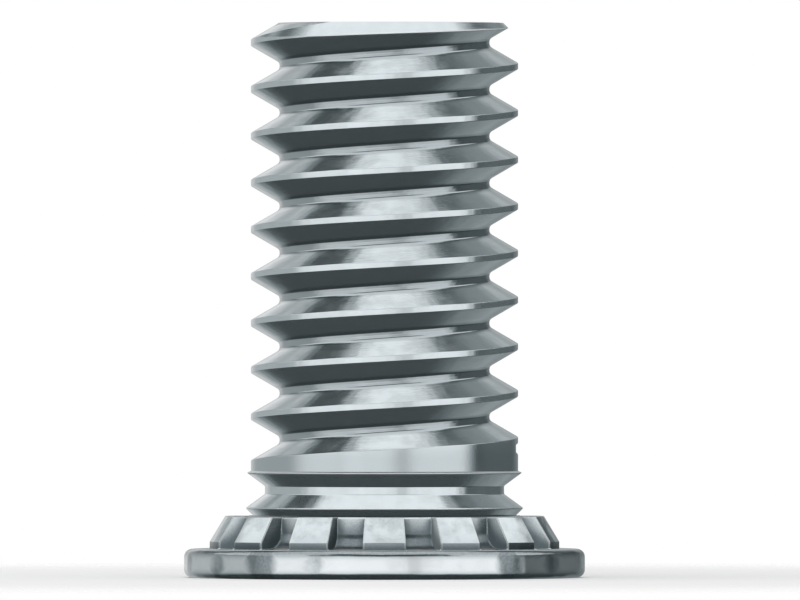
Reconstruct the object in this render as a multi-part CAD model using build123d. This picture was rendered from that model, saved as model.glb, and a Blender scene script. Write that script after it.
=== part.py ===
"""Self-clinching stud with a flush ribbed head and a rolled metric thread, in millimetres.

The stud stands on its head: the origin is at the centre of the head's flush face, and +Z runs up the shank.
Angles are measured about +Z from +X, and the thread is right-hand.
"""

from build123d import *
from build123d.topology import SkipClean
from math import cos, radians, sin, tan
import os

# Thread and length
thread_diameter = 4.0
thread_pitch = 0.7
overall_length = 8.3
end_chamfer = 0.22

# Proportions that the metric thread form gives, as shares of the pitch
crest_flat = thread_pitch / 8
thread_depth = thread_pitch * 0.6134
flank_angle = 30.0

# Where the groove has its full depth at the bottom, and how far round it fades out below that
groove_start_angle = 180.0
runout_sweep = 195.0

# Head: a thin flush disc with a rounded rim
head_thickness = 0.43
head_flange = 0.37
head_edge_radius = 0.12

# Boss above the head, with clinching ribs round it and rounded pockets between them
boss_wall = 0.19
boss_height = 0.49
rib_count = 14
rib_angle = 14.2
rib_foot_reach = 0.44
rib_top_reach = 0.21
rib_land = 0.11
pocket_radius = 0.26

# Displacer ridge on top of the boss, then the undercut neck
ridge_reach = 0.08
ridge_foot_inset = 0.12
ridge_rise = 0.12
ridge_fall = 0.21
neck_depth = 0.21
neck_height = 0.12

# Flared lip under the plain collar
lip_reach = 0.06
lip_rise = 0.2
lip_bevel = 0.025
collar_height = 0.18

# Radii, from the shank outwards
shank_radius = thread_diameter / 2
neck_radius = shank_radius - neck_depth
lip_radius = shank_radius + lip_reach
ridge_radius = shank_radius + ridge_reach
boss_radius = shank_radius + boss_wall
rib_foot_radius = boss_radius + rib_foot_reach
rib_top_radius = boss_radius + rib_top_reach
head_radius = rib_foot_radius + head_flange

# Heights, from the flush face upwards
boss_top = head_thickness + boss_height
ridge_crest_height = boss_top + ridge_rise
neck_bottom = ridge_crest_height + ridge_fall
neck_top = neck_bottom + neck_height
lip_height = neck_top + lip_rise
collar_bottom = lip_height + lip_bevel

# The groove is a flat-bottomed vee, and its cutter reaches a little past the crest
groove_root_radius = shank_radius - thread_depth
groove_root_flat = thread_pitch - crest_flat - 2 * thread_depth * tan(radians(flank_angle))
groove_overcut = crest_flat / 4 / tan(radians(flank_angle))
groove_start_height = lip_height + collar_height + (thread_pitch - crest_flat) / 2

# The shank is made in sectors whose walls stay apart, so that the crest is a chain of true cylinder faces
sector_count = 8
sector_offset = -5.0

# The groove is cut in stretches of this angle or less, with points at this spacing on their helical edges
stretch_angle = 90.0
helix_step = 18.0


def turned(outline, start=0.0, sweep=360.0):
    """A solid turned about Z from an outline whose points are (radius, height)."""
    section = Plane.XZ * make_face(outline)
    return Rot(0, 0, start) * revolve(section, Axis.Z, sweep)


def head_and_boss():
    """The flush disc, the boss with the pockets' rounded floor, the ridge, the neck and the lip."""
    rim = head_radius - head_edge_radius
    pocket_foot = boss_radius + pocket_radius
    pocket_top = head_thickness + pocket_radius
    outline = [
        Line((0, 0), (rim, 0)),
        CenterArc((rim, head_edge_radius), head_edge_radius, -90, 90),
        Line((head_radius, head_edge_radius), (head_radius, head_thickness - head_edge_radius)),
        CenterArc((rim, head_thickness - head_edge_radius), head_edge_radius, 0, 90),
        Line((rim, head_thickness), (pocket_foot, head_thickness)),
        CenterArc((pocket_foot, pocket_top), pocket_radius, 180, 90),
        Polyline(
            (boss_radius, pocket_top),
            (boss_radius, boss_top),
            (ridge_radius - ridge_foot_inset, boss_top),
            (ridge_radius, ridge_crest_height),
            (neck_radius, neck_bottom),
            (neck_radius, neck_top),
            (lip_radius, lip_height),
            (shank_radius, collar_bottom),
            (0, collar_bottom),
            (0, 0),
        ),
    ]
    return turned(outline)


def rib():
    """One clinching rib: an upright land at its foot, then a face that leans in to the boss's top."""
    root = boss_radius - boss_wall / 2
    outline = Polyline(
        (root, head_thickness - head_edge_radius / 2),
        (rib_foot_radius, head_thickness - head_edge_radius / 2),
        (rib_foot_radius, head_thickness + rib_land),
        (rib_top_radius, boss_top),
        (root, boss_top),
        close=True,
    )
    return turned(outline, -rib_angle / 2, rib_angle)


def ribs():
    """The ring of ribs, with one of them centred on -Y."""
    return [Rot(0, 0, -90 + i * 360 / rib_count) * rib() for i in range(rib_count)]


def shank_sector(start):
    """One sector of the plain shank from the collar up, with the end chamfer."""
    outline = Polyline(
        (0, collar_bottom),
        (shank_radius, collar_bottom),
        (shank_radius, overall_length - end_chamfer),
        (shank_radius - end_chamfer, overall_length),
        (0, overall_length),
        close=True,
    )
    return turned(outline, start, 360 / sector_count)


def groove_section(angle):
    """The corners of the groove's cutter at an angle, as (radius, height): root bottom, root top, mouth top, mouth bottom.

    Above its start the section follows the pitch. Below it the root rises out of the shank on a smooth
    curve while the upper flank stays where it is, so the groove narrows from below and fades out.
    """
    past_start = angle - groove_start_angle
    faded = max(-past_start / runout_sweep, 0)
    lift = (thread_depth + groove_overcut / 2) * faded**2
    root = groove_root_radius + lift
    mouth = shank_radius + groove_overcut
    slope = tan(radians(flank_angle))
    centre = groove_start_height + thread_pitch * past_start / 360
    mouth_top = centre + groove_root_flat / 2 + (mouth - groove_root_radius) * slope
    root_top = mouth_top - (mouth - root) * slope
    root_bottom = root_top - groove_root_flat
    mouth_bottom = root_bottom - (mouth - root) * slope
    return [(root, root_bottom), (root, root_top), (mouth, mouth_top), (mouth, mouth_bottom)]


def on_shank(radius, height, angle):
    """A point from its radius, height and angle."""
    return Vector(radius * cos(radians(angle)), radius * sin(radians(angle)), height)


def groove_stretch(first, last):
    """The cutter's solid between two angles, with ruled walls between its helical edges."""
    steps = max(round((last - first) / helix_step), 2)
    angles = [first + (last - first) * i / steps for i in range(steps + 1)]
    sections = [[on_shank(r, z, a) for r, z in groove_section(a)] for a in angles]
    edges = [Edge.make_spline([s[corner] for s in sections], parameters=angles) for corner in range(4)]
    walls = [Face.make_surface_from_curves(edges[i], edges[(i + 1) % 4]) for i in range(4)]
    caps = [Face(Wire.make_polygon(section)) for section in (sections[0], sections[-1])]
    return Solid(Shell(walls + caps))


def groove_stretches(first, last):
    """Cutter solids end to end between two angles."""
    count = max(round((last - first) / stretch_angle), 1)
    each = (last - first) / count
    return [groove_stretch(first + i * each, first + (i + 1) * each) for i in range(count)]


def groove():
    """All of the cutter, from where the groove fades in round the collar to where it leaves the shank's end."""
    rise = overall_length + thread_pitch / 2 - groove_start_height
    end_angle = groove_start_angle + 360 * rise / thread_pitch
    runout = groove_stretches(groove_start_angle - runout_sweep, groove_start_angle)
    return runout + groove_stretches(groove_start_angle, end_angle)


def stud():
    """The whole stud as one solid."""
    head = head_and_boss() + ribs()
    sectors = [shank_sector(sector_offset + i * 360 / sector_count) for i in range(sector_count)]
    with SkipClean():
        return head.fuse(*sectors).cut(*groove())


os.makedirs("parts", exist_ok=True)
export_step(stud(), "parts/stud.step")
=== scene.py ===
"""Dresses the self-clinching stud: rolled thread, ribbed clinching head and plated finish, on a pale studio floor."""

import math

import bmesh
import bpy
import numpy as np
from bpy.props import FloatProperty, FloatVectorProperty, IntProperty, PointerProperty
from mathutils import Matrix, Vector


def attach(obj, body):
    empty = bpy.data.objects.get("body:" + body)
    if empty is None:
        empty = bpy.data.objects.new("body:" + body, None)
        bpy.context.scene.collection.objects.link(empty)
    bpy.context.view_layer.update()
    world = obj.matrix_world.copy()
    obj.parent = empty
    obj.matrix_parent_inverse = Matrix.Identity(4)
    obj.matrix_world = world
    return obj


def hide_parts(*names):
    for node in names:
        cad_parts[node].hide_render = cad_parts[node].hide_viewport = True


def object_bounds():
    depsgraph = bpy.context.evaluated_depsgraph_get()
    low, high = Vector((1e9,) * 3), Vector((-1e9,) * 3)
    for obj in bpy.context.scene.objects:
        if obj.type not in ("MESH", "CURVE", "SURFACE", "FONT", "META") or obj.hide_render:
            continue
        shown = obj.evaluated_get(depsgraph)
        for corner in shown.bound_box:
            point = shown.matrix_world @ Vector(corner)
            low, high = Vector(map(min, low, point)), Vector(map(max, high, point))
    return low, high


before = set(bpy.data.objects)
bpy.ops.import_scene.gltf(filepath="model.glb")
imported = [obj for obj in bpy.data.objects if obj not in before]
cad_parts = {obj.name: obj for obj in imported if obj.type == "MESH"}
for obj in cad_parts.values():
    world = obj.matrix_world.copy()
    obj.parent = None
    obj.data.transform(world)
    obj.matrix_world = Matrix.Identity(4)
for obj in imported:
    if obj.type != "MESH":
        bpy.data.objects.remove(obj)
cad_low, cad_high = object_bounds()

bl_info = {
    "name": "Self-clinching stud",
    "version": (1, 0, 0),
    "blender": (4, 5, 0),
    "location": "View3D > Sidebar > Stud",
    "description": "Builds a self-clinching stud with a rolled metric thread and a ribbed flush head",
    "category": "Add Mesh",
}

MILLIMETRE = 0.001
TINY = 1e-9
FULL_TURN = 2 * math.pi
FRONT = -math.pi / 2
WHITE = (1, 1, 1, 1)

# Rows that round off one corner of a section, and the most of a side that one rounding may use up
CORNER_ROWS = 4
MOST_OF_A_SIDE = 0.45

# Where rows are put in on a rib's leaning face and on a flank of the thread, as shares of the way up
RIB_FACE_SHARES = (0.2, 0.4, 0.6, 0.8)
FLANK_SHARES = (1 / 3, 2 / 3)

# Columns over half a rib's face, down its rounded side, over the fillet beside it, and over half a pocket
RIB_COLUMNS = 4
ROUNDING_SHARES = (0.5, 0.85, 1.0)
FILLET_SHARES = (0.0, 0.3, 1.0)
POCKET_COLUMNS = 4

# Points up a pocket's fillet and round each edge of the rim, and how many roundings the next row keeps off a corner
POCKET_POINTS = 25
RIM_POINTS = 9
LEDGE = 3

# Rows up the collar between the lip and the thread, and turns of the thread made to spare
COLLAR_ROWS = 2
SPARE_TURNS = 2

# How far the trimming tool stands out past the thread and goes down below the head, in millimetres
TRIM_REACH = 2.0
TRIM_DROP = 1.0

# Points closer than this fall together, edges shorter than this go, and points this near the chamfer count as on it
SAME_PLACE = 2e-5
SHORTEST_EDGE = 1e-5
NEAR = 1e-3

# Edges that turn further than this stay crisp, and a large face sets the shading along a narrow one beside it
CRISP_ANGLE = math.radians(40)
LARGE_FACES_FIRST = {"mode": "FACE_AREA", "weight": 80, "thresh": 0.0, "keep_sharp": True}

# Scale and detail of each random pattern in the plating
PATTERNS = {
    "clouds": (4.0, 3.0),
    "grain": (28.0, 2.0),
    "streaks": (1.3, 3.0),
    "waves": (1.5, 1.0),
    "cuts": (1.6, 3.0),
}

# How fast the streaks change with the radius and the height, and the cuts along X, Y and Z
STREAK_STRETCH = (30.0, 8.0)
CUT_STRETCH = (0.5, 6.0, 1.0)

# Between which values of a pattern its clouds come up and its specks fill in, and the least that is left in the specks
# of the mottling and of the rim's painted dark reflections
CLOUD_STEP = (0.35, 0.7)
GRAIN_STEP = (0.2, 0.8)
LEAST_IN_SPECKS = (0.5, 0.8)

# How open a place is where its painted shade starts and is full, and how much metal lies behind an edge that is rubbed
# bright with a painted highlight
SHELTERED_STEP = (0.97, 0.6)
WORN_STEP = (0.9, 0.5)

# Painted dark reflections round the head's rim: how many there are, where one lies (degrees from the front), and their
# share. The clouds break them up a little, and on the way from the rim's middle height (0) to its edges (1) they run
# together into painted shade along both edges
PAINTED_RIM_REFLECTIONS = ((2, -84, 0.54), (5, -34, 0.64), (19, 0, 0.63))
CLOUDS_IN_REFLECTIONS = 0.25
RIM_EDGE_SHADE_STEP = (0.15, 0.85, 0.0, 0.9)

# What each part of the finish adds to the roughness at its full strength, and what the first two add on average
ROUGHENS = {"clouds": 0.07, "streaks": 0.08, "sheltered": 0.2, "worn_and_highlight": 0.35, "cuts": 0.3}
ROUGHENED_ON_AVERAGE = 0.06

# The camera's sensor width in millimetres, and in metres how far to the right and how high it stands, and how near and
# how far it sees
SENSOR_WIDTH = 36
CAMERA_AIM = (0.000232, 0.004154)
CAMERA_CLIPS = (0.001, 2)

# Faces round the floor, and the share of its radius out to which it is solid
FLOOR_COLUMNS = 96
FLOOR_SOLID_SHARE = 0.45

# Width and place of the lamp, and the point that it faces, in metres
LAMP_SIZE = 0.12
LAMP_PLACE = (-0.02, -0.02, 0.08)
LAMP_AIM = (0, 0, 0.004)

# Between which sines of elevation each light comes up, and how fast more of it turns the room's tint into white
ROOM_STEP = (-0.5, 0.3)
OVERHEAD_STEP = (0.79, 0.885)
AMBIENT_STEP = (-0.3, 0.5)
WHITENING = 1.6

# Soft boxes of light that the metal mirrors: the azimuth of the middle from the front, half the width and the soft
# edge, all in degrees, then the lowest and highest sine of elevation, the soft edge there, and the strength
SOFT_BOXES = (
    (-50, 130, 10, -0.35, 0.42, 0.2, 0.4),
    (-52, 20, 18, -0.4, 0.5, 0.15, 0.45),
    (52, 28, 12, -0.4, 0.5, 0.15, 0.5),
    (-8, 16, 14, -0.35, 0.42, 0.2, 0.5),
    (120, 26, 10, -0.35, 0.3, 0.2, 0.06),
    (180, 14, 10, 0.12, 0.52, 0.06, 0.3),
    (180, 24, 12, -0.36, 0.15, 0.22, 0.2),
    (-160, 14, 6, 0.5, 0.63, 0.04, 0.4),
    (-161, 14, 8, 0.81, 0.95, 0.03, 0.35),
    (162, 14, 10, 0.35, 0.74, 0.08, 0.2),
    (162, 14, 10, -0.68, -0.3, 0.1, 0.2),
    (88, 40, 12, 0.42, 0.86, 0.08, 1.0),
    (-88, 40, 12, 0.42, 0.86, 0.08, 1.0),
)


def length_prop(name, description, default):
    """A length that a user can set, in metres."""
    return FloatProperty(name=name, description=description, default=default, subtype="DISTANCE", unit="LENGTH")


def angle_prop(name, description, degrees):
    """An angle that a user can set."""
    default = math.radians(degrees)
    return FloatProperty(name=name, description=description, default=default, subtype="ANGLE", unit="ROTATION")


def share_prop(name, description, default):
    """A share from 0 to 1 that a user can set."""
    return FloatProperty(name=name, description=description, default=default, min=0, max=1, subtype="FACTOR")


def strength_prop(name, description, default):
    """A strength of light that a user can set."""
    return FloatProperty(name=name, description=description, default=default, min=0)


def colour_prop(name, description, default):
    """A colour that a user can set."""
    return FloatVectorProperty(
        name=name, description=description, default=default, size=3, min=0, max=1, subtype="COLOR"
    )


class StudThreadSizes(bpy.types.PropertyGroup):
    """Sizes of the thread and the shank."""

    diameter: length_prop("Thread diameter", "Across the crests of the thread", 4.0 * MILLIMETRE)
    pitch: length_prop("Pitch", "Height that one turn of the thread climbs", 0.7 * MILLIMETRE)
    depth: length_prop("Depth", "From crest to root", 0.7 * 0.6134 * MILLIMETRE)
    crest: length_prop("Crest flat", "Height of the flat land on the crest", 0.7 / 8 * MILLIMETRE)
    flank: angle_prop("Flank angle", "Slope of each flank from level", 30)
    start_angle: angle_prop("Start angle", "Where round the shank the groove has its full depth at the bottom", 180)
    runout: angle_prop("Run-out", "How far round the groove fades out below its start", 190.8)
    crest_rounding: length_prop("Crest rounding", "Radius on the two edges of the crest", 0.022 * MILLIMETRE)
    root_rounding: length_prop("Root rounding", "Radius in the two corners of the root", 0.09 * MILLIMETRE)
    length: length_prop("Overall length", "From the flush face to the free end", cad_high.z - cad_low.z)
    end_chamfer: length_prop("End chamfer", "Chamfer on the free end", 0.22 * MILLIMETRE)
    columns: IntProperty(
        name="Columns",
        description="Faces round the shank",
        default=180,
        min=24,
    )


class StudHeadSizes(bpy.types.PropertyGroup):
    """Sizes of the flush head, its ribs, the ridge, the neck and the collar."""

    diameter: length_prop("Head diameter", "Across the flush disc", cad_high.x - cad_low.x)
    thickness: length_prop("Head thickness", "Height of the flush disc", 0.43 * MILLIMETRE)
    rim_radius: length_prop("Rim radius", "Rounding of the disc's two edges", 0.12 * MILLIMETRE)
    boss_radius: length_prop("Boss radius", "Radius of the boss between the ribs", 2.19 * MILLIMETRE)
    boss_height: length_prop("Boss height", "Height of the boss above the disc", 0.49 * MILLIMETRE)
    rib_count: IntProperty(
        name="Ribs",
        description="Number of clinching ribs",
        default=14,
        min=3,
    )
    rib_angle: angle_prop("Rib angle", "Angle that one rib takes up round the boss", 14.2)
    rib_foot: length_prop("Rib foot radius", "Reach of a rib's foot from the axis", 2.63 * MILLIMETRE)
    rib_top: length_prop("Rib top radius", "Reach of a rib's top from the axis", 2.40 * MILLIMETRE)
    rib_land: length_prop("Rib land", "Height of the upright land at a rib's foot", 0.11 * MILLIMETRE)
    rib_rounding: length_prop("Rib rounding", "Radius on the ribs' edges", 0.022 * MILLIMETRE)
    pocket_radius: length_prop(
        "Pocket radius",
        "Fillet at the bottom of the pockets between the ribs",
        0.26 * MILLIMETRE,
    )
    corner_radius: length_prop("Corner radius", "Fillet where a rib meets the boss and the disc", 0.02 * MILLIMETRE)
    ridge_foot: length_prop("Ridge foot radius", "Radius of the ridge where it stands on the boss", 1.96 * MILLIMETRE)
    ridge_radius: length_prop("Ridge radius", "Radius of the displacer ridge at its crest", 2.08 * MILLIMETRE)
    ridge_height: length_prop("Ridge height", "Height of the ridge's crest above the boss", 0.12 * MILLIMETRE)
    ridge_fall: length_prop("Ridge fall", "Height of the slope from the ridge's crest into the neck", 0.21 * MILLIMETRE)
    neck_radius: length_prop("Neck radius", "Radius of the undercut neck", 1.79 * MILLIMETRE)
    neck_height: length_prop("Neck height", "Height of the upright part of the neck", 0.12 * MILLIMETRE)
    lip_radius: length_prop("Lip radius", "Radius of the flared lip under the collar", 2.06 * MILLIMETRE)
    lip_rise: length_prop("Lip rise", "Height of the slope from the neck out to the lip", 0.2 * MILLIMETRE)
    lip_bevel: length_prop("Lip bevel", "Height of the bevel on top of the lip", 0.025 * MILLIMETRE)
    collar_height: length_prop(
        "Collar height",
        "From the lip up to the groove's lower edge where the groove has its full depth",
        0.18 * MILLIMETRE,
    )
    edge_rounding: length_prop(
        "Edge rounding",
        "Radius on the ridge's and the lip's edges and in the neck's corners",
        0.02 * MILLIMETRE,
    )


class StudFinish(bpy.types.PropertyGroup):
    """Colours and surface of the plated steel."""

    metal: colour_prop("Plating", "Colour of the plating", (0.75, 0.82, 0.85))
    roughness: share_prop("Roughness", "Roughness of the plating", 0.13)
    metallic: share_prop(
        "Metallic",
        "Share of the plating's look that is bare metal, the rest being its dull film",
        0.95,
    )
    # The dark colour: of the random mottling, and of the painted shade in the pockets and the roots, the painted dark
    # reflections round the rim and the even darkening of the collar
    darkening: colour_prop(
        "Film",
        "Colour of the dull film in sheltered places, the mottling and the rim's blotches",
        (0.12, 0.155, 0.17),
    )
    mottling: share_prop("Mottling", "Strength of the soft cloudy patches on the shank", 0.07)
    head_mottling: share_prop(
        "Head mottling",
        "Strength of the soft cloudy patches on the ribs and the rest of the head",
        0.3,
    )
    # Strength of the painted dark reflections round the rim and of the painted shade along its two edges
    painted_rim_darkness: share_prop("Rim film", "Strength of the soft blotches round the head's rim", 0.85)
    # Strength of the painted highlight round the rim, between its painted dark reflections
    rim_painted_highlight: share_prop("Rim shine", "How bright the plating is rubbed round the rim, between its blotches", 0.75)
    # Strength of the even darkening over the plain collar
    collar_darkening: share_prop(
        "Collar film",
        "Strength of the even film on the plain collar, which the thread's rolling leaves alone",
        0.25,
    )
    # Strength of the painted shade in the thread's roots
    root_painted_shade: share_prop("Root film", "Strength of the film in the thread's roots", 0.4)
    # Bright colour of the rubbed edges, which also paints a highlight along them, and of the painted highlight round
    # the rim; then the strength of the rubbed edges with their painted highlight, and how far in they reach
    worn_and_highlight_metal: colour_prop("Worn edges", "Colour of the edges where the plating is rubbed bright", (0.91, 0.95, 0.97))
    edge_wear_and_highlight: share_prop("Edge wear", "Strength of the rubbed edges", 1.0)
    edge_wear_and_highlight_reach: length_prop("Edge wear reach", "How far in from an edge the rubbing reaches", 0.045 * MILLIMETRE)
    # Strength of the painted shade deep in the head's pockets, which also roughens them, and how far a point looks for
    # walls that shade it
    pocket_painted_shade: share_prop("Pocket film", "Strength of the film deep in the head's pockets", 1.0)
    pocket_reach: length_prop(
        "Pocket reach",
        "How far round it a point looks for walls that shelter its film",
        0.4 * MILLIMETRE,
    )
    grain_height: length_prop("Grain height", "Height of the plating's fine grain", 0.0006 * MILLIMETRE)
    streak_height: length_prop(
        "Streak height",
        "Height of the fine marks that the rolling dies leave along the thread",
        0.0004 * MILLIMETRE,
    )
    wave_height: length_prop(
        "Wave height",
        "Height of the uneven patches on the cold-headed surfaces",
        0.03 * MILLIMETRE,
    )
    cut_height: length_prop(
        "Cut mark height",
        "Height of the fine parallel marks where the blank was cut off at the free end",
        0.0015 * MILLIMETRE,
    )


class StudStage(bpy.types.PropertyGroup):
    """Floor, light and camera."""

    floor: colour_prop("Floor", "Colour of the floor", (0.9, 0.9, 0.9))
    floor_radius: length_prop("Floor radius", "Where the floor has faded out", 20.0 * MILLIMETRE)
    floor_lift: share_prop(
        "Floor lift",
        "Brightness added to the floor for the rays that see it, not for those that light the stud",
        0.15,
    )
    room_tint: colour_prop("Room tint", "Colour of the room's dark parts", (0.80, 0.97, 1.0))
    room: strength_prop("Room", "Brightness of the room that the metal mirrors, above the horizon", 0.07)
    room_low: strength_prop("Low room", "Brightness of the room that the metal mirrors, below the horizon", 0.06)
    overhead: strength_prop("Overhead", "Brightness of the sky of light that the metal mirrors above it", 1.0)
    ambient: strength_prop("Ambient", "Strength of the plain light from above", 0.6)
    ambient_low: strength_prop("Low ambient", "Strength of the plain light from below", 0.1)
    lamp: strength_prop("Lamp", "Brightness of the overhead lamp's face", 0.6)
    lens: FloatProperty(
        name="Lens",
        description="Focal length of the camera",
        default=1000.0,
        subtype="DISTANCE_CAMERA",
        unit="CAMERA",
    )
    view_width: length_prop("View width", "Width that the camera takes in at the stud's axis", 11.976 * MILLIMETRE)


class Skin:
    """Points and faces of a mesh in the making, in millimetres."""

    def __init__(self):
        self.points = []
        self.faces = []

    def add(self, radius, height, angle):
        """Adds points from their radius, height and angle, and gives their numbers in the same layout."""
        radius, height, angle = np.broadcast_arrays(radius, height, angle)
        first = len(self.points)
        places = [radius * np.cos(angle), radius * np.sin(angle), height]
        self.points.extend(np.stack(places, -1).reshape(-1, 3).tolist())
        return first + np.arange(radius.size).reshape(radius.shape)

    def surface(self, grid):
        """Joins a grid of points by four-sided faces. Rows go upwards, and columns go round anticlockwise."""
        for lower, upper in zip(grid[:-1], grid[1:]):
            self.faces.extend(np.stack([lower[:-1], lower[1:], upper[1:], upper[:-1]], -1).tolist())

    def knit(self, first, second, first_places, second_places):
        """Fills the strip between two chains of points with triangles, stepping on along the chain that lags."""
        i = j = 0
        while i < len(first) - 1 or j < len(second) - 1:
            at_end = j == len(second) - 1
            if at_end or (i < len(first) - 1 and first_places[i + 1] <= second_places[j + 1]):
                self.faces.append([first[i], second[j], first[i + 1]])
                i += 1
            else:
                self.faces.append([first[i], second[j], second[j + 1]])
                j += 1


def closed(grid):
    """The grid with its first column repeated at the end."""
    return np.concatenate([grid, grid[:, :1]], axis=1)


def even_angles(count):
    """Angles that share out one full turn."""
    return np.arange(count) * FULL_TURN / count


def section(*points):
    """Corners of a section from pairs of radius and height, which may be arrays over the columns."""
    return [np.stack(np.broadcast_arrays(r, z), -1).astype(float) for r, z in points]


def rounded(corners, radii):
    """Rows of (radius, height) along a section whose corners are rounded, less where their sides are short."""
    rows = []
    for i, (corner, radius) in enumerate(zip(corners, radii)):
        if not radius:
            rows.append(corner)
            continue
        sides = [corners[i - 1] - corner, corners[i + 1] - corner]
        lengths = [np.maximum(np.linalg.norm(s, axis=-1, keepdims=True), TINY) for s in sides]
        cosine = (sides[0] * sides[1]).sum(-1, keepdims=True) / (lengths[0] * lengths[1])
        reach = radius * np.sqrt(np.maximum(1 + cosine, 0) / np.maximum(1 - cosine, TINY))
        reach = np.minimum(reach, MOST_OF_A_SIDE * np.minimum(*lengths))
        first, last = (corner + s / n * reach for s, n in zip(sides, lengths))
        for share in np.linspace(0, 1, CORNER_ROWS):
            rows.append(first * (1 - share) ** 2 + corner * 2 * share * (1 - share) + last * share**2)
    return np.array(rows)


def filled(rows, after, shares):
    """The rows with more put in after one of them, at these shares of the way to the next."""
    first, last = rows[after], rows[after + 1]
    added = [first + (last - first) * share for share in shares]
    return np.concatenate([rows[: after + 1], added, rows[after + 1 :]])


def distances(points):
    """How far along a chain of points each of them lies."""
    return np.concatenate([[0], np.cumsum(np.linalg.norm(np.diff(points, axis=0), axis=1))])


def in_millimetres(sizes):
    """The sizes of a property group by name, with each length in millimetres."""
    found = {}
    for name, prop in sizes.bl_rna.properties.items():
        if prop.type in ("FLOAT", "INT"):
            scale = 1 / MILLIMETRE if prop.unit == "LENGTH" else 1
            found[name] = getattr(sizes, name) * scale
    return found


# From here on h holds the head's sizes and t the thread's, by name and in millimetres


def boss_top(h):
    """Height of the boss's top, which is also the ribs'."""
    return h["thickness"] + h["boss_height"]


def lip_height(h):
    """Height of the flared lip's edge."""
    return boss_top(h) + h["ridge_height"] + h["ridge_fall"] + h["neck_height"] + h["lip_rise"]


def apron_radius(h):
    """Radius on the disc from which the rows over a rib and up a pocket start."""
    return h["rib_foot"] + 2 * h["corner_radius"]


def rib_section(h, inset):
    """Rows over a clinching rib, from the disc up to the boss's top, with its outline drawn in by an inset."""
    floor, top = h["thickness"], boss_top(h)
    run, rise = h["rib_foot"] - h["rib_top"], h["boss_height"] - h["rib_land"]
    slope = math.hypot(run, rise)
    foot = h["rib_foot"] - inset
    knee = floor + h["rib_land"] - inset * (slope - rise) / run
    brow = h["rib_foot"] - (inset * slope + run * (top - inset - floor - h["rib_land"])) / rise
    edge = h["rib_rounding"]
    corners = section(
        (apron_radius(h), floor),
        (foot, floor),
        (foot, knee),
        (brow, top - inset),
        (h["boss_radius"], top - inset),
        (h["boss_radius"] - edge, top),
    )
    rows = rounded(corners, [0, h["corner_radius"], edge, edge, 0, 0])
    return filled(rows, 2 * CORNER_ROWS, RIB_FACE_SHARES)


def pocket_section(h, shares, lift):
    """Rows up a pocket between two ribs at the given shares of its length, lifted off it by a small fillet."""
    floor, top, edge = h["thickness"], boss_top(h), h["rib_rounding"]
    radius = h["pocket_radius"] - lift
    middle = (h["boss_radius"] + h["pocket_radius"], floor + h["pocket_radius"])
    outline = [(apron_radius(h), floor), (h["rib_foot"], floor + lift)]
    for angle in np.linspace(math.pi / 2, 0, POCKET_POINTS):
        outline.append((middle[0] - radius * math.cos(angle), middle[1] - radius * math.sin(angle)))
    outline += [(h["boss_radius"] + lift, top - LEDGE * edge), (h["boss_radius"], top - edge)]
    outline = np.array(outline)
    along = distances(outline)
    rows = [np.interp(shares * along[-1], along, outline[:, i]) for i in (0, 1)]
    return np.concatenate([np.stack(rows, -1), [(h["boss_radius"] - edge, top)]])


def head_columns(h):
    """The columns over one rib and half a pocket to each side: their angles from the rib's middle, and their rows."""
    half, half_pitch = h["rib_angle"] / 2, math.pi / h["rib_count"]
    rounding, corner = (h[name] / h["rib_foot"] for name in ("rib_rounding", "corner_radius"))
    plain = rib_section(h, 0)
    along = distances(plain[:-1])
    shares = along / along[-1]
    columns = [(angle, plain) for angle in np.linspace(0, half - rounding, RIB_COLUMNS)]
    for reach in ROUNDING_SHARES:
        inset = h["rib_rounding"] * (1 - math.sqrt(1 - reach**2))
        columns.append((half - rounding * (1 - reach), rib_section(h, inset)))
    for reach in FILLET_SHARES:
        lift = h["corner_radius"] * (1 - reach) ** 2
        columns.append((half + corner * reach, pocket_section(h, shares, lift)))
    hollow = pocket_section(h, shares, 0)
    columns += [(angle, hollow) for angle in np.linspace(half + corner, half_pitch, POCKET_COLUMNS)[1:]]
    mirrored = [(-angle, rows) for angle, rows in reversed(columns[1:-1])]
    angles, rows = zip(*(mirrored + columns))
    return np.array(angles), np.stack(rows, 1)


def add_head(skin, h, seam):
    """Adds the disc, the ribs and the pockets, and gives the ring on the boss's top that the ridge joins on to."""
    angles, rows = head_columns(h)
    ribs = even_angles(h["rib_count"]) + FRONT
    around = ((ribs[:, None] + angles).ravel() - seam) % FULL_TURN
    order = np.argsort(around, kind="stable")
    around, rows = around[order] + seam, np.tile(rows, (1, h["rib_count"], 1))[:, order]
    edge = h["rim_radius"]
    rim = h["diameter"] / 2 - edge
    turn = np.linspace(0, math.pi / 2, RIM_POINTS)
    outline = [(rim + edge * math.sin(a), edge - edge * math.cos(a)) for a in turn]
    outline += [(rim + edge * math.cos(a), h["thickness"] - edge + edge * math.sin(a)) for a in turn]
    ledge = [(h["boss_radius"] - LEDGE * h["rib_rounding"], boss_top(h))]
    disc, ledge = (np.array(part)[:, None] * np.ones((1, len(around), 1)) for part in (outline, ledge))
    rows = np.concatenate([disc, rows, ledge])
    grid = closed(skin.add(rows[..., 0], rows[..., 1], around))
    skin.surface(grid)
    skin.faces.append(grid[0, :-1][::-1].tolist())
    return grid[-1], np.append(around, around[0] + FULL_TURN)


def neck_section(h, t):
    """Rows from the ridge's foot on the boss up to the bevel on top of the lip."""
    crest = boss_top(h) + h["ridge_height"]
    neck = crest + h["ridge_fall"]
    lip, shank = lip_height(h), t["diameter"] / 2
    corners = section(
        (h["ridge_foot"], boss_top(h)),
        (h["ridge_radius"], crest),
        (h["neck_radius"], neck),
        (h["neck_radius"], neck + h["neck_height"]),
        (h["lip_radius"], lip),
        (shank, lip + h["lip_bevel"]),
        (shank, lip + h["collar_height"]),
    )
    edge = h["edge_rounding"]
    hollow, fine = 1.5 * edge, edge / 2
    return rounded(corners, [0, edge, hollow, hollow, fine, fine, 0])[:-1]


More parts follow.
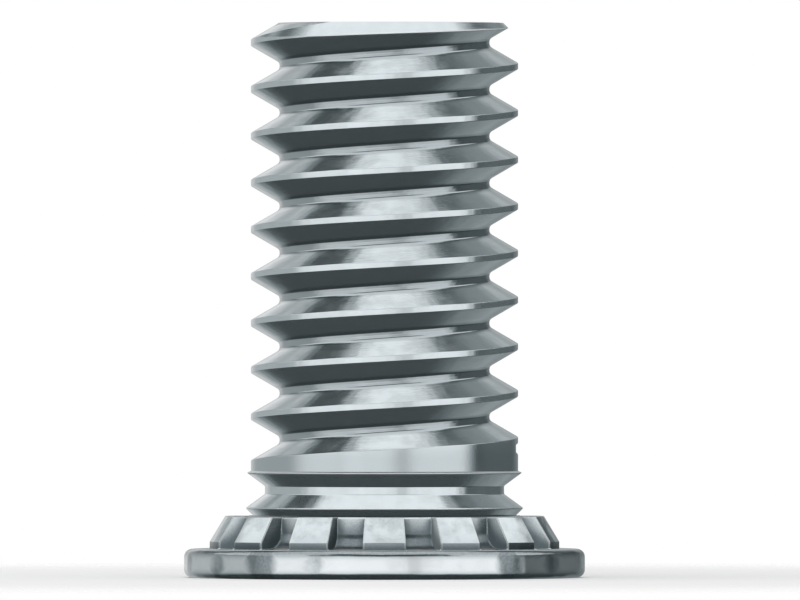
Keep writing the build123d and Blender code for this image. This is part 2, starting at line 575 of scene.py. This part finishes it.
def groove_rows(t, start_height, angle):
    """Rows over one groove of the thread at each angle, from its lower mouth edge to its upper one."""
    past = angle - t["start_angle"]
    faded = np.clip(-past / t["runout"], 0, 1)
    slope = math.tan(t["flank"])
    radius = t["diameter"] / 2
    root = radius - t["depth"] + t["depth"] * faded**2
    flat = t["pitch"] - t["crest"] - 2 * t["depth"] * slope
    upper = start_height + t["pitch"] * past / FULL_TURN + (t["pitch"] - t["crest"]) / 2
    root_top = upper - (radius - root) * slope
    root_bottom = root_top - flat
    lower = root_bottom - (radius - root) * slope
    corners = section(
        (radius, lower - t["crest"]),
        (radius, lower),
        (root, root_bottom),
        (root, root_top),
        (radius, upper),
        (radius, upper + t["crest"]),
    )
    edge, bend = t["crest_rounding"], t["root_rounding"]
    rows = rounded(corners, [0, edge, bend, bend, edge, 0])[1:-1]
    rows = filled(rows, 3 * CORNER_ROWS - 1, FLANK_SHARES)
    return filled(rows, CORNER_ROWS - 1, FLANK_SHARES)


def thread_rows(t, start_height, angles):
    """Rows over all the grooves, which stop a little past the stud's end, and how many rows one turn has."""
    limit = t["length"] + t["pitch"] / 3
    turns = math.ceil((limit - start_height) / t["pitch"] + t["start_angle"] / FULL_TURN) + SPARE_TURNS
    phases = angles + FULL_TURN * np.arange(turns)[:, None]
    rows = np.stack([groove_rows(t, start_height, phase) for phase in phases])
    per_turn = rows.shape[1]
    rows = rows.reshape(-1, len(angles), 2)
    for column in range(len(angles)):
        radius, height = rows[:, column, 0], rows[:, column, 1]
        at_limit = np.interp(limit, height, radius)
        rows[height > limit, column] = (at_limit, limit)
    return rows, per_turn


def add_shank(skin, h, t, ring, ring_angles, seam):
    """Adds the ridge, the neck, the collar and the thread above them, which runs on past the stud's end."""
    angles = seam + even_angles(t["columns"])
    rows = neck_section(h, t)
    grid = closed(skin.add(rows[:, None, 0], rows[:, None, 1], angles))
    skin.surface(grid)
    skin.knit(grid[0], ring, np.append(angles, angles[0] + FULL_TURN), ring_angles)
    lip = lip_height(h)
    rows, per_turn = thread_rows(t, lip + h["collar_height"] + (t["pitch"] - t["crest"]) / 2, angles)
    collar_foot = lip + h["lip_bevel"]
    steps = np.linspace(0, 1, COLLAR_ROWS + 2)[1:-1, None]
    collar = skin.add(t["diameter"] / 2, collar_foot + (rows[0, :, 1] - collar_foot) * steps, angles)
    thread = skin.add(rows[..., 0], rows[..., 1], angles)
    stack = np.concatenate([grid[-1:, :-1], collar, thread])
    skin.surface(stack)
    # At the seam each groove goes on in the first column's next turn, and what is left below that is knitted up
    below = 1 + len(collar)
    left, right = stack[:, -1], stack[:, 0]
    skin.surface(np.stack([left[below:-per_turn], right[below + per_turn :]], 1))
    heights = [[skin.points[n][2] for n in side] for side in (left, right)]
    skin.knit(left[: below + 1], right[: below + per_turn + 1], *heights)
    skin.faces.append(thread[-1].tolist())


def trimming_tool(t):
    """A turned solid that holds the whole stud, and trims its thread to the free end and its chamfer."""
    radius = t["diameter"] / 2
    rows = np.array([
        (radius + TRIM_REACH, -TRIM_DROP),
        (radius + TRIM_REACH, t["length"] - t["end_chamfer"] - TRIM_REACH),
        (radius - t["end_chamfer"], t["length"]),
    ])
    skin = Skin()
    grid = closed(skin.add(rows[:, None, 0], rows[:, None, 1], even_angles(t["columns"])))
    skin.surface(grid)
    skin.faces.append(grid[0, :-1][::-1].tolist())
    skin.faces.append(grid[-1, :-1].tolist())
    return mesh_of("trimming_tool", skin)


def clean(work):
    """Merges points that fall together, and takes out faces with no area."""
    bmesh.ops.remove_doubles(work, verts=work.verts, dist=SAME_PLACE)
    bmesh.ops.dissolve_degenerate(work, edges=work.edges, dist=SHORTEST_EDGE)


def mesh_of(name, skin):
    """A clean mesh from a skin."""
    mesh = bpy.data.meshes.new(name)
    mesh.from_pydata(skin.points, [], skin.faces)
    work = bmesh.new()
    work.from_mesh(mesh)
    clean(work)
    bmesh.ops.recalc_face_normals(work, faces=work.faces)
    work.to_mesh(mesh)
    work.free()
    return mesh


def evaluated(mesh, **modifiers):
    """The mesh with modifiers applied, each given by its kind with its settings."""
    body = bpy.data.objects.new(mesh.name, mesh)
    bpy.context.scene.collection.objects.link(body)
    for kind, settings in modifiers.items():
        added = body.modifiers.new(kind, kind)
        for name, value in settings.items():
            setattr(added, name, value)
    bpy.context.view_layer.update()
    made = bpy.data.meshes.new_from_object(body.evaluated_get(bpy.context.evaluated_depsgraph_get()))
    bpy.data.objects.remove(body)
    made.name = mesh.name
    return made


def trimmed(mesh, tool):
    """The part of a mesh inside a tool, both closed."""
    cutter = bpy.data.objects.new(tool.name, tool)
    bpy.context.scene.collection.objects.link(cutter)
    made = evaluated(mesh, BOOLEAN={"operation": "INTERSECT", "solver": "EXACT", "object": cutter})
    bpy.data.objects.remove(cutter)
    return made


def on_chamfer(face, t):
    """Whether a face lies on the free end's chamfer."""
    reach = t["diameter"] / 2 - t["end_chamfer"] + t["length"]
    return all(abs(point.co.xy.length + point.co.z - reach) < NEAR for point in face.verts)


def shaded(mesh, t):
    """Smooth shading that keeps sharp edges and the chamfer's border crisp, and flat faces flat."""
    work = bmesh.new()
    work.from_mesh(mesh)
    clean(work)
    open_edges = [e for e in work.edges if len(e.link_faces) != 2]
    if open_edges:
        raise RuntimeError(f"the stud's mesh has {len(open_edges)} open edges")
    for face in work.faces:
        face.smooth = True
    chamfer = {face for face in work.faces if on_chamfer(face, t)}
    for edge in work.edges:
        border = len(chamfer.intersection(edge.link_faces)) == 1
        edge.smooth = edge.calc_face_angle(0) < CRISP_ANGLE and not border
    work.to_mesh(mesh)
    work.free()
    return evaluated(mesh, WEIGHTED_NORMAL=LARGE_FACES_FIRST)


def add_node(tree, kind, inputs=(), **settings):
    """Adds a shader node with its settings, and sets or links its inputs, which go by name or number."""
    made = tree.nodes.new("ShaderNode" + kind)
    for name, value in settings.items():
        setattr(made, name, value)
    for name, value in dict(inputs).items():
        if isinstance(value, bpy.types.NodeSocket):
            tree.links.new(value, made.inputs[name])
        else:
            made.inputs[name].default_value = value
    return made


def maths(tree, operation, *values, clamp=False):
    """The result of a Math node."""
    return add_node(tree, "Math", enumerate(values), operation=operation, use_clamp=clamp).outputs[0]


def chain(tree, operation, first, *others):
    """The result of a row of Math nodes, each of which takes in one more value."""
    for other in others:
        first = maths(tree, operation, first, other)
    return first


def weighted(tree, *pairs):
    """The sum of values, each times its weight."""
    return chain(tree, "ADD", *(maths(tree, "MULTIPLY", value, weight) for value, weight in pairs))


def vectors(tree, operation, *values):
    """The result of a Vector Math node, which is a number where the operation gives one."""
    made = add_node(tree, "VectorMath", enumerate(values), operation=operation)
    return made.outputs["Value" if operation in ("LENGTH", "DOT_PRODUCT") else "Vector"]


def smooth_step(tree, value, low, high, bottom=0.0, top=1.0):
    """A smooth rise from bottom to top as a value goes from low to high."""
    inputs = {"Value": value, "From Min": low, "From Max": high, "To Min": bottom, "To Max": top}
    return add_node(tree, "MapRange", inputs, interpolation_type="SMOOTHSTEP").outputs[0]


def blend(tree, share, first, last):
    """A colour between two, by a share from 0 to 1."""
    return add_node(tree, "Mix", {0: share, 6: first, 7: last}, data_type="RGBA").outputs[2]


def openness(tree, reach, inside=False):
    """How open a point of the stud is to its surroundings, or with inside, how much metal lies behind it."""
    inputs, settings = {"Distance": reach}, {"samples": 8, "inside": inside, "only_local": True}
    return add_node(tree, "AmbientOcclusion", inputs, **settings).outputs["AO"]


def finish_steps(h, t):
    """Heights or radii, in millimetres, between which each part of the finish comes up to its full strength."""
    disc, boss, end = h["thickness"], boss_top(h), t["length"]
    rim = h["diameter"] / 2 - h["rim_radius"]
    lip = lip_height(h)
    collar = lip + h["collar_height"]
    crest = t["diameter"] / 2
    root = crest - t["depth"]
    return {
        "head": [("height", boss + 0.03, boss - 0.01)],
        "rim": [("radius", rim - 0.15, rim + 0.02), ("height", disc + 0.01, disc - 0.02)],
        "collar": [
            ("height", lip - 0.01, lip + 0.03),
            ("height", collar + 0.45, collar),
            ("radius", crest - 0.04, crest - 0.015),
        ],
        "roots": [
            ("radius", root + 0.1, root + 0.02),
            ("height", collar, collar + 0.05),
            ("height", end - 0.005, end - 0.02),
        ],
        "end": [("height", end - 0.006, end - 0.002)],
    }


def rim_painted_reflections(tree, place, clouds, disc_top):
    """Painted dark reflections round the rim, and painted shade towards both its edges too."""
    x, y, z = place
    turn = maths(tree, "ARCTAN2", x, maths(tree, "MULTIPLY", y, -1.0))
    total = 0.0
    # Painted dark reflections at fixed places round the rim, counted from the front
    for count, dark_at, share in PAINTED_RIM_REFLECTIONS:
        swing = maths(tree, "MULTIPLY_ADD", turn, count, -count * math.radians(dark_at))
        total = maths(tree, "MULTIPLY_ADD", maths(tree, "COSINE", swing), share, total)
    total = maths(tree, "ADD", total, maths(tree, "MULTIPLY", clouds, CLOUDS_IN_REFLECTIONS))
    off_middle = maths(tree, "ABSOLUTE", maths(tree, "MULTIPLY_ADD", z, 2 / disc_top, -1.0))
    # Painted shade towards the rim's top and bottom edges
    edges = smooth_step(tree, off_middle, *RIM_EDGE_SHADE_STEP)
    return maths(tree, "MAXIMUM", smooth_step(tree, total, 0.0, 1.0), edges)


def plating_patterns(tree, point, place, radius):
    """The random patterns in the plating by name: the streaks follow the thread, and the cuts run across the end."""
    x, y, z = place
    along = weighted(tree, (radius, STREAK_STRETCH[0]), (z, STREAK_STRETCH[1]))
    drawn_out = {
        "streaks": add_node(tree, "CombineXYZ", {0: x, 1: y, 2: along}).outputs[0],
        "cuts": vectors(tree, "MULTIPLY", point, CUT_STRETCH),
    }
    made = {}
    for name, (scale, detail) in PATTERNS.items():
        inputs = {"Vector": drawn_out.get(name, point), "Scale": scale, "Detail": detail}
        made[name] = add_node(tree, "TexNoise", inputs).outputs[0]
    made["clouds"] = smooth_step(tree, made["clouds"], *CLOUD_STEP)
    return made


def darkening_share(tree, finish, areas, patterns, painted_reflections, sheltered):
    """How far each point darkens towards the dark colour: random mottling, painted shade in the pockets and the roots,
    painted dark reflections round the rim, and an even darkening of the collar.
    """
    times = "MULTIPLY"
    mottling = maths(tree, "MULTIPLY_ADD", areas["head"], finish.head_mottling - finish.mottling, finish.mottling)
    specks, faint_specks = (smooth_step(tree, patterns["grain"], *GRAIN_STEP, least, 1.0) for least in LEAST_IN_SPECKS)
    return chain(
        tree,
        "MAXIMUM",
        # Painted shade deep in the pockets
        sheltered,
        chain(tree, times, patterns["clouds"], specks, mottling),
        # Painted dark reflections and edge shade round the rim
        chain(tree, times, painted_reflections, faint_specks, maths(tree, times, areas["rim"], finish.painted_rim_darkness)),
        # Even darkening of the collar
        maths(tree, times, areas["collar"], finish.collar_darkening),
        # Painted shade in the thread's roots
        maths(tree, times, areas["roots"], finish.root_painted_shade),
    )


def plated_steel(finish, h, t):
    """Plated steel: rolled and streaked on the shank, cold-headed and uneven up to the head's top, with fine grain. Its
    colour also holds painted shade in the pockets and the roots, painted dark reflections and a painted highlight round
    the rim, and a painted highlight along the rubbed edges.
    """
    material = bpy.data.materials.new("plated_steel")
    material.use_nodes = True
    tree = material.node_tree
    shader = tree.nodes["Principled BSDF"]
    shader.inputs["Metallic"].default_value = finish.metallic
    point = add_node(tree, "TexCoord").outputs["Object"]
    point = add_node(tree, "VectorMath", {0: point, 3: 1 / MILLIMETRE}, operation="SCALE").outputs[0]
    place = add_node(tree, "SeparateXYZ", {0: point}).outputs
    level = add_node(tree, "CombineXYZ", {0: place[0], 1: place[1]}).outputs[0]
    measured = {"radius": vectors(tree, "LENGTH", level), "height": place[2]}
    areas = {}
    for name, steps in finish_steps(h, t).items():
        areas[name] = chain(tree, "MULTIPLY", *(smooth_step(tree, measured[kind], *step) for kind, *step in steps))

    patterns = plating_patterns(tree, point, place, measured["radius"])
    clouds, streaks = patterns["clouds"], patterns["streaks"]
    waves = maths(tree, "MULTIPLY", patterns["waves"], areas["head"])
    cuts = maths(tree, "MULTIPLY", patterns["cuts"], areas["end"])
    # Painted dark reflections round the rim
    painted_reflections = rim_painted_reflections(tree, place, clouds, h["thickness"])
    # Painted shade deep in the head's pockets, from how open each point is; it also roughens them
    pockets = smooth_step(tree, openness(tree, finish.pocket_reach), *SHELTERED_STEP)
    sheltered = chain(tree, "MULTIPLY", areas["head"], finish.pocket_painted_shade, pockets)
    # Edges rubbed bright, which also paints a highlight along them
    edges = smooth_step(tree, openness(tree, finish.edge_wear_and_highlight_reach, inside=True), *WORN_STEP)
    worn_and_highlight = maths(tree, "MULTIPLY", edges, finish.edge_wear_and_highlight)

    darkened = darkening_share(tree, finish, areas, patterns, painted_reflections, sheltered)
    # Painted highlight round the rim, between its painted dark reflections
    between_reflections = maths(tree, "SUBTRACT", 1.0, painted_reflections, clamp=True)
    painted_highlight = chain(tree, "MULTIPLY", areas["rim"], between_reflections, finish.rim_painted_highlight)
    # Darkened by the random mottling, the painted shade and the painted dark reflections, then brightened by the
    # painted highlights
    colour = blend(tree, darkened, (*finish.metal, 1), (*finish.darkening, 1))
    colour = blend(tree, maths(tree, "MAXIMUM", painted_highlight, worn_and_highlight), colour, (*finish.worn_and_highlight_metal, 1))
    tree.links.new(colour, shader.inputs["Base Color"])

    causes = {"clouds": clouds, "streaks": streaks, "sheltered": sheltered, "worn_and_highlight": worn_and_highlight, "cuts": cuts}
    rough = weighted(tree, *((causes[name], weight) for name, weight in ROUGHENS.items()))
    rough = maths(tree, "ADD", rough, finish.roughness - ROUGHENED_ON_AVERAGE)
    tree.links.new(rough, shader.inputs["Roughness"])

    height = weighted(
        tree,
        (patterns["grain"], finish.grain_height),
        (streaks, finish.streak_height),
        (waves, finish.wave_height),
        (cuts, finish.cut_height),
    )
    bump = add_node(tree, "Bump", {"Height": height, "Distance": 1.0, "Strength": 1.0})
    tree.links.new(bump.outputs[0], shader.inputs["Normal"])
    return material


class STUD_OT_body(bpy.types.Operator):
    """Build the stud in one piece"""

    bl_idname = "stud.body"
    bl_label = "Stud"

    def execute(self, context):
        scene = context.scene
        h, t = in_millimetres(scene.stud_head), in_millimetres(scene.stud_thread)
        seam = t["start_angle"] - t["runout"]
        skin = Skin()
        ring, ring_angles = add_head(skin, h, seam)
        add_shank(skin, h, t, ring, ring_angles, seam)
        mesh = shaded(trimmed(mesh_of("stud_body", skin), trimming_tool(t)), t)
        mesh.transform(Matrix.Scale(MILLIMETRE, 4))
        mesh.materials.clear()
        mesh.materials.append(plated_steel(scene.stud_finish, h, t))
        piece = bpy.data.objects.new("stud_body", mesh)
        scene.collection.objects.link(piece)
        piece.visible_glossy = False
        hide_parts("stud")
        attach(piece, "root")
        return {"FINISHED"}


class STUD_OT_stage(bpy.types.Operator):
    """Build the floor, the light and the camera"""

    bl_idname = "stud.stage"
    bl_label = "Stage"

    def execute(self, context):
        scene = context.scene
        stage = scene.stud_stage
        add_camera(scene, stage)
        add_floor(scene, stage)
        add_studio(scene, stage)
        add_lamp(scene, stage)
        scene.view_settings.view_transform = "Standard"
        return {"FINISHED"}


def add_camera(scene, stage):
    """A long lens level with the stud's middle."""
    camera = bpy.data.objects.new("camera", bpy.data.cameras.new("camera"))
    scene.collection.objects.link(camera)
    camera.data.lens = stage.lens
    camera.data.sensor_width = SENSOR_WIDTH
    side, height = CAMERA_AIM
    camera.location = (side, -stage.view_width * stage.lens / SENSOR_WIDTH, height)
    camera.rotation_euler = (math.radians(90), 0, 0)
    camera.data.clip_start, camera.data.clip_end = CAMERA_CLIPS
    scene.camera = camera


def add_floor(scene, stage):
    """A pale round floor that fades out at its edge into the white background."""
    skin = Skin()
    radii = np.array([1.0, 0.5]) * stage.floor_radius
    grid = closed(skin.add(radii[:, None], 0.0, even_angles(FLOOR_COLUMNS)))
    skin.surface(grid)
    skin.faces.append(grid[-1, :-1].tolist())
    mesh = bpy.data.meshes.new("floor")
    mesh.from_pydata(skin.points, [], skin.faces)
    floor = bpy.data.objects.new("floor", mesh)
    scene.collection.objects.link(floor)
    mesh.materials.append(pale_floor(stage))
    floor.visible_glossy = False


def pale_floor(stage):
    """The floor's material: plain paint that is lifted a little for the rays that see it, and clear at its edge."""
    material = bpy.data.materials.new("pale_floor")
    material.use_nodes = True
    tree = material.node_tree
    tree.nodes.clear()
    reach = vectors(tree, "LENGTH", add_node(tree, "TexCoord").outputs["Object"])
    shown = smooth_step(tree, reach, stage.floor_radius, stage.floor_radius * FLOOR_SOLID_SHARE)
    path = add_node(tree, "LightPath").outputs
    seen = chain(tree, "MAXIMUM", path["Is Camera Ray"], path["Is Glossy Ray"], path["Is Transmission Ray"])
    paint = add_node(tree, "BsdfDiffuse", {"Color": (*stage.floor, 1)}).outputs[0]
    lift = maths(tree, "MULTIPLY", seen, stage.floor_lift)
    glow = add_node(tree, "Emission", {"Color": WHITE, "Strength": lift}).outputs[0]
    solid = add_node(tree, "AddShader", {0: paint, 1: glow}).outputs[0]
    clear = add_node(tree, "BsdfTransparent").outputs[0]
    mixed = add_node(tree, "MixShader", {0: shown, 1: clear, 2: solid}).outputs[0]
    add_node(tree, "OutputMaterial", {"Surface": mixed})
    return material


def box_light(tree, level, z, box):
    """What one soft box gives in each direction, from the direction's level part and its sine of elevation."""
    azimuth, half, soft, low, high, fade, strength = box
    a = math.radians(azimuth)
    facing = vectors(tree, "DOT_PRODUCT", level, (math.sin(a), -math.cos(a), 0))
    outer, inner = (math.cos(math.radians(reach)) for reach in (half + soft, max(half - soft, 0)))
    across = smooth_step(tree, facing, outer, inner)
    above = smooth_step(tree, z, low - fade, low + fade)
    below = smooth_step(tree, z, high + fade, high - fade)
    return chain(tree, "MULTIPLY", across, maths(tree, "MULTIPLY", above, below), strength)


def add_studio(scene, stage):
    """White to the camera. The metal mirrors soft boxes in a darker room, and the rest gets plain ambient light."""
    world = bpy.data.worlds.new("studio")
    scene.world = world
    world.use_nodes = True
    tree = world.node_tree
    tree.nodes.clear()
    way = vectors(tree, "NORMALIZE", add_node(tree, "TexCoord").outputs["Generated"])
    z = add_node(tree, "SeparateXYZ", {0: way}).outputs[2]
    level = vectors(tree, "NORMALIZE", vectors(tree, "MULTIPLY", way, (1, 1, 0)))
    total = smooth_step(tree, z, *ROOM_STEP, stage.room_low, stage.room)
    total = maths(tree, "ADD", total, smooth_step(tree, z, *OVERHEAD_STEP, 0.0, stage.overhead))
    for box in SOFT_BOXES:
        total = maths(tree, "ADD", total, box_light(tree, level, z, box))
    total = maths(tree, "MINIMUM", total, 1.0)
    shade = blend(tree, maths(tree, "MULTIPLY", total, WHITENING, clamp=True), (*stage.room_tint, 1), WHITE)
    room = add_node(tree, "Background", {"Color": shade, "Strength": total}).outputs[0]
    ambient = smooth_step(tree, z, *AMBIENT_STEP, stage.ambient_low, stage.ambient)
    plain = add_node(tree, "Background", {"Color": WHITE, "Strength": ambient}).outputs[0]
    white = add_node(tree, "Background", {"Color": WHITE, "Strength": 1.0}).outputs[0]
    path = add_node(tree, "LightPath").outputs
    mirrored = maths(tree, "MAXIMUM", path["Is Glossy Ray"], path["Is Transmission Ray"])
    mixed = add_node(tree, "MixShader", {0: mirrored, 1: plain, 2: room}).outputs[0]
    mixed = add_node(tree, "MixShader", {0: path["Is Camera Ray"], 1: mixed, 2: white}).outputs[0]
    add_node(tree, "OutputWorld", {"Surface": mixed})


def add_lamp(scene, stage):
    """One large soft lamp above the stud."""
    light = bpy.data.lights.new("overhead", "AREA")
    light.shape = "RECTANGLE"
    light.size = light.size_y = LAMP_SIZE
    light.energy = stage.lamp * math.pi * light.size * light.size_y
    lamp = bpy.data.objects.new("overhead", light)
    scene.collection.objects.link(lamp)
    lamp.visible_glossy = False
    lamp.location = LAMP_PLACE
    lamp.rotation_euler = (Vector(LAMP_AIM) - lamp.location).to_track_quat("-Z", "Y").to_euler()


class STUD_PT_panel(bpy.types.Panel):
    """Lists the stud's sizes and its builders"""

    bl_label = "Self-clinching stud"
    bl_idname = "STUD_PT_panel"
    bl_space_type = "VIEW_3D"
    bl_region_type = "UI"
    bl_category = "Stud"

    def draw(self, context):
        for operator in OPERATORS:
            self.layout.operator(operator.bl_idname)
        for name in GROUPS:
            box = self.layout.box()
            group = getattr(context.scene, name)
            for key in group.__annotations__:
                box.prop(group, key)


OPERATORS = (STUD_OT_body, STUD_OT_stage)
GROUPS = {
    "stud_thread": StudThreadSizes,
    "stud_head": StudHeadSizes,
    "stud_finish": StudFinish,
    "stud_stage": StudStage,
}


def register():
    """Registers the sizes, the builders and the panel."""
    for made in (*GROUPS.values(), *OPERATORS, STUD_PT_panel):
        bpy.utils.register_class(made)
    for name, group in GROUPS.items():
        setattr(bpy.types.Scene, name, PointerProperty(type=group))


def unregister():
    """Takes them all away again."""
    for name in GROUPS:
        delattr(bpy.types.Scene, name)
    for made in (STUD_PT_panel, *OPERATORS, *GROUPS.values()):
        bpy.utils.unregister_class(made)


def main():
    """Builds the stud and its stage."""
    register()
    bpy.ops.stud.stage()
    bpy.ops.stud.body()


if __name__ == "__main__":
    main()
